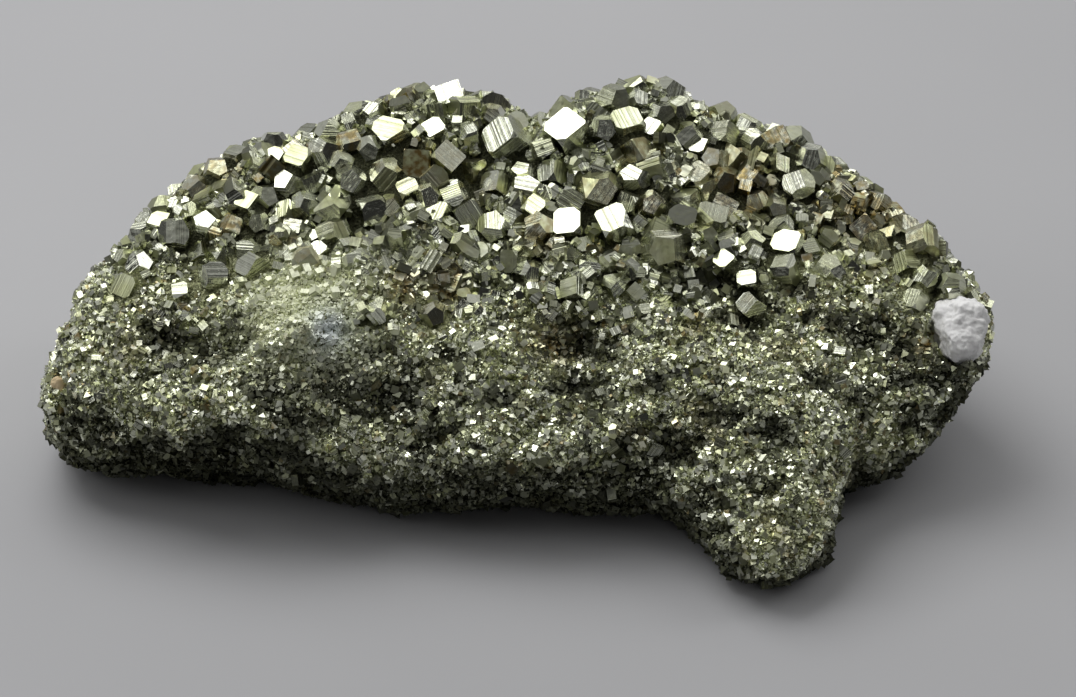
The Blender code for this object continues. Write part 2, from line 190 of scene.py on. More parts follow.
# The stains, and the recesses that get painted shade, that the photograph shows: pixel of it, and reach
# on the specimen
SEEN_STAINS = (
    ((417, 162), 4.0),
    ((460, 169), 2.0),
    ((610, 184), 3.0),
    ((644, 144), 2.5),
    ((672, 251), 2.2),
    ((660, 199), 2.2),
    ((405, 288), 2.8),
    ((445, 290), 3.0),
    ((402, 101), 2.4),
    ((543, 233), 3.0),
    ((935, 235), 3.0),
    ((210, 180), 3.0),
)
SEEN_RECESSES = (
    ((165, 340), 2.8),
    ((195, 355), 3.6),
    ((242, 340), 2.8),
    ((285, 388), 4.3),
    ((337, 385), 5.0),
    ((390, 398), 4.0),
    ((300, 420), 3.2),
    ((75, 420), 3.2),
    ((110, 425), 2.5),
    ((160, 452), 4.5),
    ((215, 462), 4.5),
    ((232, 440), 2.4),
    ((700, 285), 2.8),
    ((735, 290), 2.4),
    ((748, 320), 2.4),
    ((800, 292), 1.9),
    ((868, 335), 3.4),
    ((900, 345), 2.4),
    ((728, 419), 2.2),
    ((775, 434), 2.6),
    ((668, 450), 3.6),
    ((645, 485), 4.0),
    ((580, 388), 2.8),
    ((500, 395), 1.9),
    ((455, 360), 1.6),
    ((610, 345), 1.6),
    ((660, 380), 1.6),
    ((820, 380), 2.2),
    ((870, 400), 2.2),
    ((925, 419), 2.6),
    ((938, 277), 2.0),
    ((430, 440), 2.2),
    ((700, 500), 3.0),
    ((757, 486), 1.6),
    ((735, 560), 1.8),
    ((720, 530), 1.6),
    ((600, 410), 1.6),
    ((900, 380), 1.8),
)

# Recesses: how long they are, how ragged their borders, how deep, and where they and their painted shade
# begin and are full
RECESS_SQUEEZE = np.array((0.62, 1.0, 1.0))
RECESS_RAGGEDNESS = 1.1
RECESS_DEPTH = 0.9
RECESS_BORDER = (1.6, 0.5)

# White lump: voxel size and smoothing, and the size and height of its bumps and grit
LUMP_VOXEL = 0.28
LUMP_SMOOTHING = 2
LUMP_BUMPS = (2.4, 0.6)
LUMP_GRIT = (0.7, 0.22)

# Breaks of the white lump: direction from its middle and distance
LUMP_BREAKS = (
    ((-0.45, -0.35, 0.80), 4.2),
    ((0.30, -0.58, 0.76), 4.1),
    ((0.85, -0.25, 0.45), 5.2),
    ((0.10, 0.20, 1.00), 4.6),
    ((-0.94, -0.32, -0.11), 3.1),
    ((-0.72, -0.40, -0.56), 4.0),
    ((-0.22, 0.49, 0.85), 4.7),
    ((0.95, -0.30, -0.08), 4.0),
    ((0.15, -0.75, -0.60), 5.2),
)

# Coarse crystals: number a square millimetre, least and greatest radius, how rare large ones are, how
# near two may stand and how far they are sunk or raised, in radii, how much painted shade they may get
# among the coarse crystals, and how much smaller they are by their lower edge
COARSE_DENSITY = 2.0
COARSE_RADII = (0.80, 2.6)
COARSE_RARITY = 7.0
COARSE_GAP = 0.52
COARSE_LIFT = (-0.35, 0.25)
COARSE_SHADE = 0.15
SMALLER_AT_EDGE = 0.72
EDGE_WIDTH = (0.0, 12.0)

# Medium crystals: the same, with their number where they are dense, among the coarse ones and elsewhere,
# and how much smaller they are at the left end
MEDIUM_DENSITY = 1.2
MEDIUM_AMONG_COARSE = 1.6
MEDIUM_ELSEWHERE = 0.05
MEDIUM_RADII = (0.36, 1.20)
MEDIUM_RARITY = 2.2
MEDIUM_GAP = 0.5
MEDIUM_LIFT = (-0.3, 0.3)
MEDIUM_SHADE = 0.35
SMALLER_AT_LEFT = 0.75
LEFT_WIDTH = (-50.0, -35.0)

# Fine druse: the same, with its number behind and in front, and how much larger it is behind
FINE_DENSITY = (1.4, 9.6)
FINE_RADII = (0.16, 0.66)
FINE_RARITY = 4.0
FINE_LIFT = (-0.3, 0.3)
FINE_SHADE = 0.6
LARGER_BEHIND = 2.1

# In the finest patch: how much denser the druse is, and how much smaller
PATCH_DENSER = 1.4
PATCH_SMALLER = 0.65

# Grains in one piece of the druse
MOST_GRAINS = 24000

# How far a crystal reaches sideways and down, in its radii, and how far it may stand out of the
# solid's box
REACH = 1.5
REACH_DOWN = 1.85
BOX_ROOM = np.array((1.4, 1.0, 0.7))

# What each crystal face carries for its material
FACE_VALUES = ("tone", "tarnish", "painted_shade_and_soot", "satin", "pale")

# How dark the painted shade on the druse is under the overhang, in the undercut, in hollows and low
# down, and where the last two begin and are full
OVERHANG_SHADE = 0.92
UNDERCUT_SHADE = 0.97
HOLLOW_SHADE = 0.65
HOLLOW_RELIEF = (-0.15, -1.0)
LOW_DOWN_SHADE = 0.6
LOW_HEIGHT = (13.0, 3.0)

# How much less painted shade the finest patch gets, and how deep in it the solid's crystals are shown as
# rock
PATCH_UNSHADED = 0.95
PATCH_CORE = 0.45

# By chance: dirty faces and how dull they are, brown crystals and how brown, and grains left without
# painted shade
SOOTY_SHARE = 0.10
SOOT = 0.75
BROWN_SHARE = 0.06
BROWN = 0.8
UNSHADED_SHARE = 0.08

SEED = 7

# Colours: bright and olive faces, tarnish, painted shade with soot, the finest patch and its pale spot,
# painted shade in the grooves, and mottle
CRYSTAL_COLOURS = ((0.705, 0.725, 0.61, 1.0), (0.515, 0.54, 0.315, 1.0))
# The druse is the same pyrite, its colour lifted above the crystals' as painted light that brightens the
# front
DRUSE_COLOURS = ((0.86, 0.885, 0.735, 1.0), (0.72, 0.75, 0.455, 1.0))
LIGHT_TARNISH = (0.47, 0.34, 0.090, 1.0)
DARK_TARNISH = (0.16, 0.090, 0.022, 1.0)
SHADE_AND_SOOT_COLOUR = (0.023, 0.025, 0.012, 1.0)
SATIN = (0.79, 0.82, 0.59, 1.0)
PALE = (0.84, 0.89, 0.895, 1.0)
GROOVE_SHADE_COLOUR = (0.12, 0.125, 0.065, 1.0)
MOTTLE = (0.29, 0.30, 0.15, 1.0)
BED_DARK = (0.12, 0.125, 0.060, 1.0)
BED_LIGHT = (0.60, 0.62, 0.38, 1.0)
BED_SHADE_COLOUR = (0.016, 0.017, 0.009, 1.0)
WHITES = ((0.93, 0.925, 0.91, 1.0), (0.99, 0.985, 0.975, 1.0))
TANS = ((0.64, 0.48, 0.26, 1.0), (0.85, 0.69, 0.44, 1.0))
FLOOR_GREYS = ((0.44, 0.44, 0.45, 1.0), (0.48, 0.48, 0.49, 1.0))

# Roughness of the least and the most rough faces
CRYSTAL_ROUGHNESS = (0.10, 0.30)
DRUSE_ROUGHNESS = (0.18, 0.45)


def both_sides(normals):
    return tuple(tuple(side * part for part in normal) for normal in normals for side in (1, -1))


# Pyrite forms, and the shard of a broken grain: face normals
CUBE = both_sides(((1, 0, 0), (0, 1, 0), (0, 0, 1)))
PYRITOHEDRON = both_sides(((2, 1, 0), (2, -1, 0), (0, 2, 1), (0, 2, -1), (1, 0, 2), (-1, 0, 2)))
OCTAHEDRON = both_sides(((1, 1, 1), (1, 1, -1), (1, -1, 1), (-1, 1, 1)))
SHARD = ((1, 1, 1), (1, -1, -1), (-1, 1, -1), (-1, -1, 1))

# Habit: its forms, each with the distance of the faces from the centre in crystal radii
HABITS = {
    "cube": ((CUBE, 0.74),),
    "shard": ((SHARD, 0.44),),
    "block": ((CUBE, 0.80), (OCTAHEDRON, 1.22)),
    "pentagon": ((PYRITOHEDRON, 0.93),),
    "blunt": ((PYRITOHEDRON, 0.96), (CUBE, 0.90)),
}
VARIANTS = 9

# How many of the variants of each habit are used for each size
COARSE_HABITS = {"block": 9, "pentagon": 6, "blunt": 6, "stepped": 9}
MEDIUM_HABITS = {"cube": 9, "pentagon": 2, "block": 2, "stepped": 1}
FINE_HABITS = {"cube": 5, "shard": 9}

# How much longer or shorter a crystal may be along each of its axes, how far its faces may stand from
# their distance, and the length below which an edge is closed
STRETCH = 0.3
FACE_SPREAD = (0.88, 1.10)
LEAST_EDGE = 0.05

# Habits that are chipped, by how many cuts and at what distances
CHIPPED = ("block", "pentagon", "blunt")
CHIPS = 1
CHIP_DISTANCE = (0.74, 1.0)

# Stepped crystals: number of slabs, their relative thickness, and in crystal radii their width, how far
# they are shifted, and the length of the crystal
STEPS = (3, 6)
STEP_THICKNESS = (0.5, 1.5)
STEP_WIDTH = (0.58, 0.84)
STEP_SHIFT = (-0.06, 0.06)
STEPPED_LENGTH = 1.5


def smoothstep(low, high, values):
    t = np.clip((values - low) / (high - low), 0.0, 1.0)
    return t * t * (3.0 - 2.0 * t)


def mixed(low, high, share):
    return low + (high - low) * share


def rolled_off(places, spots):
    """1 at the centre of any of the spots, falling to 0 beyond their reach."""
    found = np.zeros(len(places))
    for centre, reach in spots:
        distance = np.linalg.norm(places - np.array(centre), axis=1)
        found = np.maximum(found, np.exp(-((distance / reach) ** 2)))
    return found


def rough_noise(places, size, octaves=2, offset=0.0):
    """Fractal noise at each place, about -1 to 1, with features of the given size."""
    shift = Vector((offset, offset * 0.7, offset * 1.3))
    return np.array([noise.fractal(Vector(p) / size + shift, 0.9, 2.1, octaves) for p in places])


def lumps(places, size, height):
    """Rounded lumps of the given size with creases between them."""
    nearest = np.array([noise.voronoi(Vector(p) / size)[0][0] for p in places])
    return height * (0.35 - nearest**2)


# Geometry of the solid


def welded(node):
    """Points and triangles of a node."""
    mesh = frame["nodes"][node].data
    places = np.empty(len(mesh.vertices) * 3, np.float32)
    mesh.vertices.foreach_get("co", places)
    corners = np.empty(len(mesh.loops), np.int32)
    mesh.loops.foreach_get("vertex_index", corners)
    points, index = np.unique(np.round(places.reshape(-1, 3), 7), axis=0, return_inverse=True)
    return points.astype(float) / MM - DATUM, index.reshape(-1)[corners].reshape(-1, 3)


def on_solid(spots):
    """Where the mass is seen at each pixel of the photograph, to a tenth of a millimetre."""
    points, triangles = welded("pyrite_mass")
    tree = BVHTree.FromPolygons(points.tolist(), triangles.tolist())
    forward = Vector((0.0, math.cos(CAMERA_ELEVATION), -math.sin(CAMERA_ELEVATION)))
    up = Vector((0.0, math.sin(CAMERA_ELEVATION), math.cos(CAMERA_ELEVATION)))
    eye = Vector(CAMERA_AIM) - forward * CAMERA_DISTANCE
    focal = round(CAMERA_LENS / CAMERA_SENSOR * PHOTO_SIZE[0])
    found = []
    for (column, row), reach in spots:
        right = Vector((column - PHOTO_SIZE[0] / 2, 0.0, 0.0))
        ray = forward * focal + right + up * (PHOTO_SIZE[1] / 2 - row)
        place = tree.ray_cast(eye, ray.normalized())[0]
        found.append((tuple(round(part, 1) for part in place), reach))
    return tuple(found)


def triangle_normals(points, triangles):
    a, b, c = (points[triangles[:, i]] for i in range(3))
    cross = np.cross(b - a, c - a)
    return cross / np.linalg.norm(cross, axis=1)[:, None]


class Groups:
    """Disjoint sets of the numbers below count."""

    def __init__(self, count):
        self.parent = list(range(count))

    def root(self, i):
        while self.parent[i] != i:
            self.parent[i] = self.parent[self.parent[i]]
            i = self.parent[i]
        return i

    def join(self, i, j):
        self.parent[self.root(i)] = self.root(j)

    def labels(self):
        roots = [self.root(i) for i in range(len(self.parent))]
        return np.unique(roots, return_inverse=True)[1]


def crystals_of(points, triangles):
    """For each triangle, the number of the crystal that it is a face of, or ROCK.

    Crystal faces are told from rock by the exact angles at which they meet.
    """
    normals = triangle_normals(points, triangles)
    centres = points[triangles].mean(axis=1)
    beside = {}
    for t, (i, j, k) in enumerate(triangles):
        for u, v in ((i, j), (j, k), (k, i)):
            beside.setdefault((min(u, v), max(u, v)), []).append(t)
    faces = Groups(len(triangles))
    crystals = Groups(len(triangles))
    links = []
    for f, g in beside.values():
        angle = math.degrees(math.acos(max(-1.0, min(1.0, float(normals[f] @ normals[g])))))
        if angle < FLAT_ANGLE:
            faces.join(f, g)
            crystals.join(f, g)
            continue
        convex = float(normals[f] @ (centres[g] - centres[f])) < 0.0
        if convex and min(abs(angle - exact) for exact in CRYSTAL_ANGLES) < ANGLE_SLACK:
            links.append((f, g))
    face = faces.labels()
    meetings = np.bincount(face[np.array(links).ravel()], minlength=face.max() + 1)
    sure = (meetings >= 2) & (np.bincount(face) >= 2)
    for f, g in links:
        if sure[face[f]] or sure[face[g]]:
            crystals.join(f, g)
    crystal = crystals.labels()
    is_crystal = np.bincount(crystal, sure[face]) > 0
    return np.where(is_crystal[crystal], crystal, ROCK)


# Making meshes


def new_piece(name, points, corners, sizes, finish, smooth=False):
    """A mesh object from points in millimetres and from faces as runs of corners."""
    mesh = bpy.data.meshes.new(name)
    mesh.vertices.add(len(points))
    mesh.vertices.foreach_set("co", ((points + DATUM) * MM).astype(np.float32).ravel())
    mesh.loops.add(len(corners))
    mesh.loops.foreach_set("vertex_index", np.asarray(corners, np.int32))
    mesh.polygons.add(len(sizes))
    starts = np.concatenate([[0], np.cumsum(sizes)[:-1]])
    mesh.polygons.foreach_set("loop_start", starts.astype(np.int32))
    mesh.update(calc_edges=True)
    if not smooth:
        mesh.shade_flat()
    mesh.materials.append(finish)
    piece = bpy.data.objects.new(name, mesh)
    bpy.context.scene.collection.objects.link(piece)
    return piece


def add_values(piece, name, domain, values):
    layer = piece.data.attributes.new(name, "FLOAT", domain)
    layer.data.foreach_set("value", np.asarray(values, np.float32))


def remeshed(piece, voxel, smoothing):
    """Points and quads of the piece made even with a voxel remesh. The piece itself is removed."""
    grid = piece.modifiers.new("even", "REMESH")
    grid.mode = "VOXEL"
    grid.voxel_size = voxel * MM
    soft = piece.modifiers.new("soft", "SMOOTH")
    soft.factor = 0.5
    soft.iterations = smoothing
    graph = bpy.context.evaluated_depsgraph_get()
    mesh = bpy.data.meshes.new_from_object(piece.evaluated_get(graph))
    points = np.empty(len(mesh.vertices) * 3, np.float32)
    mesh.vertices.foreach_get("co", points)
    normals = np.empty(len(mesh.vertices) * 3, np.float32)
    mesh.vertex_normals.foreach_get("vector", normals)
    corners = np.empty(len(mesh.loops), np.int32)
    mesh.loops.foreach_get("vertex_index", corners)
    bpy.data.objects.remove(piece)
    points = points.reshape(-1, 3).astype(float) / MM - DATUM
    return points, normals.reshape(-1, 3).astype(float), corners.reshape(-1, 4)


# Zones


def up_slope(places):
    """How high each place is in the photograph, in millimetres."""
    return UP_Y * places[:, 1] + UP_Z * places[:, 2]


def above_edge(places):
    """How far up the slope each place is from the lower edge of the coarse crystals."""
    return up_slope(places) - np.interp(places[:, 0], EDGE_X, EDGE_HEIGHT)


def undercut(places):
    """1 below the lit front, with a ragged border, 0 on it."""
    edge = np.interp(places[:, 0], UNDERCUT_X, UNDERCUT_HEIGHT)
    ragged = 1.6 * rough_noise(places, 3.5, 3, 17.0)
    return smoothstep(*UNDERCUT_BORDER, up_slope(places) - edge + ragged)


def coarseness(places):
    """1 among the coarse crystals, falling to 0 at their lower edge and down the back."""
    return smoothstep(*COARSE_EDGE, above_edge(places)) * smoothstep(*COARSE_HEIGHT, places[:, 2])


def facing_front(normals):
    """1 where the surface is seen from the front, falling to 0 on the back and underside."""
    return smoothstep(*FRONT_FACING, -UP_Z * normals[:, 1] + UP_Y * normals[:, 2])


def overhung(places, normals):
    """1 where the surface faces down, falling raggedly to 0 where it stands upright."""
    ragged = 0.35 * rough_noise(places, 3.0, 3, 13.0)
    return smoothstep(*OVERHANG_FACING, normals[:, 2] + ragged)


def recessed(places):
    """1 in the recesses of the front, which are sunk into the bed and get painted shade, with ragged
    borders, 0 outside.
    """
    ragged = 1.0 + RECESS_RAGGEDNESS * rough_noise(places * RECESS_SQUEEZE, 1.8, 3, 7.0)
    found = np.zeros(len(places))
    for centre, reach in RECESSES:
        offset = (places - np.array(centre)) * RECESS_SQUEEZE
        distance = np.linalg.norm(offset, axis=1) / reach
        found = np.maximum(found, smoothstep(*RECESS_BORDER, distance * ragged))
    return found


def relief(places):
    """Relief of the rock in millimetres: broad swells, ledges that run along the front, and lumps."""
    swells = SWELLS[1] * rough_noise(places, SWELLS[0])
    ledges = LEDGES[1] * rough_noise(places * LEDGE_SQUEEZE, LEDGES[0], 3, 21.0)
    return swells + ledges + lumps(places, *LUMPS)


# Bed


class Bed:
    """The surface that the small crystals grow on, with what is needed to find places on it."""

    def __init__(self, points, triangles, crystal):
        rock = new_piece(
            "rock", points, triangles.ravel(), np.full(len(triangles), 3), None, smooth=True
        )
        self.points, normals, self.quads = remeshed(rock, BED_VOXEL, BED_SMOOTHING)
        tree = BVHTree.FromPolygons(points.tolist(), triangles.tolist())
        nearest = np.array([tree.find_nearest(p)[2] for p in self.points.tolist()])
        self.under_face = crystal[nearest] != ROCK
        rise = BED_RISE + relief(self.points) - RECESS_DEPTH * recessed(self.points)
        rise = np.where(self.under_face, -BED_UNDER_FACES, rise)
        self.points = self.points + normals * rise[:, None]
        self.points[:, 2] = np.maximum(self.points[:, 2], REST_CLEARANCE)
        self.smooth_normals = normals
        corners = self.points[self.quads]
        cross = np.cross(corners[:, 2] - corners[:, 0], corners[:, 3] - corners[:, 1])
        self.area = np.linalg.norm(cross, axis=1) / 2.0
        self.normal = normals[self.quads].mean(axis=1)
        self.normal /= np.linalg.norm(self.normal, axis=1)[:, None]
        self.centre = corners.mean(axis=1)
        self.free = ~self.under_face[self.quads].any(axis=1)

    def spots(self, density, rng):
        """Places and normals on the bed, at the given number a square millimetre on each face."""
        count = np.floor(density * self.area + rng.random(len(self.area))).astype(int)
        face = np.repeat(np.arange(len(count)), count)
        u, v = rng.random((2, len(face), 1))
        a, b, c, d = (self.points[self.quads[face, i]] for i in range(4))
        places = (a * (1 - u) + b * u) * (1 - v) + (d * (1 - u) + c * u) * v
        return places, self.normal[face]


# Crystals


class Shape:
    """One crystal of radius 1: points, corners, face sizes, and the way across the striations."""

    def __init__(self, bm):
        bm.normal_update()
        bm.verts.index_update()
        self.points = np.array([v.co for v in bm.verts])
        self.corners = np.array([v.index for f in bm.faces for v in f.verts])
        self.sizes = np.array([len(f.verts) for f in bm.faces])
        self.across = np.array([striation_axis(f.normal) for f in bm.faces])
        bm.free()


def cut_crystal(habit, rng):
    """A crystal of the given habit, with faces at unequal distances."""
    bm = bmesh.new()
    bmesh.ops.create_cube(bm, size=4.0)
    for faces, distance in HABITS[habit]:
        for normal in faces:
            grind(bm, Vector(normal).normalized(), distance * rng.uniform(*FACE_SPREAD))
    if habit in CHIPPED:
        for direction in rng.normal(size=(CHIPS, 3)):
            grind(bm, Vector(direction).normalized(), rng.uniform(*CHIP_DISTANCE))
    bmesh.ops.remove_doubles(bm, verts=bm.verts, dist=LEAST_EDGE)
    return Shape(bm)


def stepped_crystal(rng):
    """A crystal of slabs of unequal width, grown on each other."""
    bm = bmesh.new()
    ends = np.cumsum(rng.uniform(*STEP_THICKNESS, rng.integers(*STEPS)))
    ends = (np.concatenate([[0.0], ends / ends[-1]]) - 0.5) * STEPPED_LENGTH
    for low, high in zip(ends[:-1], ends[1:]):
        width, depth = 2.0 * rng.uniform(*STEP_WIDTH, 2)
        shift = rng.uniform(*STEP_SHIFT, 2)
        moved = Matrix.Translation(((low + high) / 2, *shift))
        scaled = Matrix.Diagonal((high - low, width, depth, 1.0))
        bmesh.ops.create_cube(bm, size=1.0, matrix=moved @ scaled)
    return Shape(bm)


def grind(bm, normal, distance):
    """Cuts the crystal off at a face plane and closes it there."""
    everything = bm.verts[:] + bm.edges[:] + bm.faces[:]
    cut = bmesh.ops.bisect_plane(
        bm, geom=everything, plane_co=normal * distance, plane_no=normal, clear_outer=True
    )
    rim = [e for e in cut["geom_cut"] if isinstance(e, bmesh.types.BMEdge)]
    if len(rim) > 2:
        bmesh.ops.edgeloop_fill(bm, edges=rim)


def striation_axis(normal):
    """The direction across the striations: on pyrite they run one way on each pair of cube faces."""
    main = max(range(3), key=lambda i: abs(normal[i]))
    axis = Vector((0, 0, 0))
    axis[(main + 1) % 3] = 1.0
    return axis


def random_turns(count, rng):
    """Rotation matrices with every direction as likely."""
    q = rng.normal(size=(count, 4))
    w, x, y, z = (q / np.linalg.norm(q, axis=1)[:, None]).T
    rows = [
        [1 - 2 * (y * y + z * z), 2 * (x * y - z * w), 2 * (x * z + y * w)],
        [2 * (x * y + z * w), 1 - 2 * (x * x + z * z), 2 * (y * z - x * w)],
        [2 * (x * z - y * w), 2 * (y * z + x * w), 1 - 2 * (x * x + y * y)],
    ]
    return np.moveaxis(np.array(rows), 2, 0)


def grown_piece(name, shapes, centres, normals, radii, shade, finish, rng):
    """One mesh of all the crystals, each a shape by chance, turned by chance and set at its centre.

    Shade is how much painted shade the crystals may get where they stand between the coarse ones.
    """
    count = len(centres)
    turns = random_turns(count, rng)
    sizes = radii[:, None] * (1.0 + STRETCH * rng.uniform(-1.0, 1.0, (count, 3)))
    choice = rng.integers(len(shapes), size=count)
    tarnish = np.maximum(rolled_off(centres, TARNISHED), BROWN * (rng.random(count) < BROWN_SHARE))
    # Painted shade for each crystal, varied by chance, left off a few grains, and full under the
    # overhang
    painted_shade_and_soot = painted_shade(centres, normals) * mixed(0.6, 1.0, rng.random(count))
    painted_shade_and_soot *= rng.random(count) > UNSHADED_SHARE
    painted_shade_and_soot = np.maximum(painted_shade_and_soot, OVERHANG_SHADE * overhung(centres, normals))
    # Painted shade among the coarse crystals, by chance for each crystal
    painted_shade_and_soot = np.maximum(painted_shade_and_soot, shade * coarseness(centres) * rng.random(count))
    satin = rolled_off(centres, [FINEST_PATCH])
    pale = rolled_off(centres, [PALE_PATCH])
    parts = {key: [] for key in ("points", "corners", "sizes", "stripe") + FACE_VALUES}
    start = 0
    for number, shape in enumerate(shapes):
        mine = np.flatnonzero(choice == number)
        own = shape.points[None] * sizes[mine][:, None]
        placed = np.einsum("kij,knj->kni", turns[mine], own) + centres[mine][:, None]
        offsets = start + np.arange(len(mine))[:, None] * len(shape.points)
        across = np.repeat(shape.across, shape.sizes, axis=0)
        parts["points"].append(placed.reshape(-1, 3))
        parts["corners"].append((shape.corners[None] + offsets).ravel())
        parts["sizes"].append(np.tile(shape.sizes, len(mine)))
        parts["tone"].append(rng.random(len(mine) * len(shape.sizes)))
        shifts = rng.uniform(0.0, 50.0, (len(mine), 1))
        parts["stripe"].append(((own[:, shape.corners] * across[None]).sum(axis=2) + shifts).ravel())
        parts["tarnish"].append(np.repeat(tarnish[mine], len(shape.sizes)))
        dark = np.repeat(painted_shade_and_soot[mine], len(shape.sizes))
        sooty = rng.random(len(dark)) < SOOTY_SHARE
        smooth_share = np.repeat(satin[mine], len(shape.sizes))
        # Each face keeps the painted shade, or real soot on faces picked by chance where that is darker
        parts["painted_shade_and_soot"].append(np.maximum(dark, SOOT * sooty * (1.0 - smooth_share)))
        parts["satin"].append(smooth_share)
        parts["pale"].append(np.repeat(pale[mine], len(shape.sizes)))
        start += len(mine) * len(shape.points)
    joined = {key: np.concatenate(value) for key, value in parts.items()}
    piece = new_piece(name, joined["points"], joined["corners"], joined["sizes"], finish)
    for key in FACE_VALUES:
        add_values(piece, key, "FACE", joined[key])
    add_values(piece, "stripe", "CORNER", joined["stripe"])
    return piece


def in_box(centres, radii):
    """Which crystals stay above the floor and near the box of the solid."""
    low, high = (np.array(corner) / MM - DATUM for corner in cad_box)
    reach = REACH * radii[:, None]
    inside = (centres - reach > low - BOX_ROOM) & (centres + reach < high + BOX_ROOM)
    return inside.all(axis=1) & (centres[:, 2] > REACH_DOWN * radii)


def lifted(places, normals, radii, lift_range, rng):
    """Centres of the crystals, raised or sunk by a chance share of their radius."""
    lift = rng.uniform(*lift_range, len(radii)) * radii
    return places + normals * lift[:, None]


def spaced_out(places, radii, gap):
    """Which of the places to keep, the largest first, with none nearer than gap times their radii."""
    kept = []
    for i in np.argsort(-radii):
        distance = np.linalg.norm(places[kept] - places[i], axis=1)
        if (distance >= gap * (radii[kept] + radii[i])).all():
            kept.append(i)
    return np.array(kept)


def standing_crystals(points, triangles, crystal, finish, rng):
    """The crystals of the solid, each closed at its foot."""
    everything = bmesh.new()
    tone = everything.faces.layers.float.new("tone")
    tarnish = everything.faces.layers.float.new("tarnish")
    stripe = everything.loops.layers.float.new("stripe")
    for number in np.unique(crystal[crystal != ROCK]):
        used = np.unique(triangles[crystal == number])
        if len(used) < FEWEST_CORNERS:
            continue
        single = bmesh.new()
        for i in used:
            single.verts.new(points[i])
        hull = bmesh.ops.convex_hull(single, input=single.verts[:])
        inner = [v for v in hull["geom_interior"] if isinstance(v, bmesh.types.BMVert)]
        bmesh.ops.delete(single, geom=inner, context="VERTS")
        bmesh.ops.dissolve_limit(
            single,
            angle_limit=math.radians(ONE_FACE_ANGLE),
            verts=single.verts,
            edges=single.edges,
        )
        place = points[used].mean(axis=0)[None]
        chip(single, Vector(place[0]), rng)
        stain = float(rolled_off(place, TARNISHED)[0])
        copies = {v: everything.verts.new(v.co) for v in single.verts}
        for face in single.faces:
            made = everything.faces.new([copies[v] for v in face.verts])
            made[tone] = rng.random()
            made[tarnish] = stain
            longest = max(face.edges, key=lambda e: e.calc_length())
            along = (longest.verts[1].co - longest.verts[0].co).normalized()
            across = along.cross(face.normal)
            for loop in made.loops:
                loop[stripe] = loop.vert.co.dot(across)
        single.free()
    bmesh.ops.recalc_face_normals(everything, faces=everything.faces)
    bmesh.ops.transform(everything, matrix=placing_matrix(), verts=everything.verts)
    mesh = bpy.data.meshes.new("standing_crystals")
    everything.to_mesh(mesh)
    everything.free()
    mesh.materials.append(finish)
    piece = bpy.data.objects.new("standing_crystals", mesh)
    bpy.context.scene.collection.objects.link(piece)
    return piece


def chip(bm, middle, rng):
    """Breaks a corner off a crystal that stands around middle."""
    bmesh.ops.translate(bm, vec=-middle, verts=bm.verts)
    for direction in rng.normal(size=(CHIPS, 3)):
        towards = Vector(direction).normalized()
        reach = max(v.co.dot(towards) for v in bm.verts)
        grind(bm, towards, reach * rng.uniform(*CHIP_DISTANCE))
    bmesh.ops.translate(bm, vec=middle, verts=bm.verts)
    bm.normal_update()


def placing_matrix():
    """From millimetres at the datum to metres in the frame."""
    return Matrix.Scale(MM, 4) @ Matrix.Translation(Vector(DATUM))


def painted_shade(places, normals):
    """Painted shade: 1 in the recesses, low down and under the overhang, 0 on lit surfaces."""
    # Painted shade in the hollows of the relief and darker towards the bottom, broken up by noise
    hollow = HOLLOW_SHADE * smoothstep(*HOLLOW_RELIEF, relief(places))
    low = LOW_DOWN_SHADE * smoothstep(*LOW_HEIGHT, places[:, 2])
    shade_share = np.maximum(low, hollow) + 0.3 * rough_noise(places, 6.0, 2, 3.0) - 0.10
    # Painted shade in the recesses
    shade_share = np.maximum(shade_share, recessed(places))
    # Painted shade under the overhang and in the undercut
    shade_share = np.maximum(shade_share, OVERHANG_SHADE * overhung(places, normals))
    shade_share = np.maximum(shade_share, UNDERCUT_SHADE * undercut(places))
    # Less painted shade in the finest patch
    unshaded = PATCH_UNSHADED * rolled_off(places, [FINEST_PATCH])
    return np.clip(shade_share, 0.0, 1.0) * (1.0 - unshaded)


# Materials


def add(tree, kind, inputs=None, **settings):
    """A new node. An input that is a socket is linked, and any other value is set."""
    made = tree.nodes.new(kind)
    for key, value in settings.items():
        setattr(made, key, value)
    for slot, value in (inputs or {}).items():
        if isinstance(value, bpy.types.NodeSocket):
            tree.links.new(value, made.inputs[slot])
        else:
            made.inputs[slot].default_value = value
    return made


def new_material(name):
    made = bpy.data.materials.new(name)
    made.use_nodes = True
    tree = made.node_tree
    return made, tree, tree.nodes["Principled BSDF"]


def millimetres(tree):
    """Object coordinates in millimetres."""
    coordinates = add(tree, "ShaderNodeTexCoord")
    return add(
        tree,
        "ShaderNodeVectorMath",
        {0: coordinates.outputs["Object"], 1: (1.0 / MM,) * 3},
        operation="MULTIPLY",
    ).outputs[0]


def noise_value(tree, place, scale, detail=2.0, roughness=0.5):
    return add(
        tree,
        "ShaderNodeTexNoise",
        {"Vector": place, "Scale": scale, "Detail": detail, "Roughness": roughness},
    ).outputs["Fac"]


def attribute(tree, name):
    return add(tree, "ShaderNodeAttribute", attribute_name=name).outputs["Fac"]


def blend_colours(tree, share, low, high):
    mix = tree.nodes.new("ShaderNodeMix")
    mix.data_type = "RGBA"
    for slot, value in ((0, share), (6, low), (7, high)):
        if isinstance(value, bpy.types.NodeSocket):
            tree.links.new(value, mix.inputs[slot])
        else:
            mix.inputs[slot].default_value = value
    return mix.outputs[2]


def ranged(tree, value, low, high, new_low, new_high):
    inputs = {"Value": value, 1: low, 2: high, 3: new_low, 4: new_high}
    return add(tree, "ShaderNodeMapRange", inputs).outputs[0]


def calc(tree, operation, first, second):
    return add(tree, "ShaderNodeMath", {0: first, 1: second}, operation=operation).outputs[0]


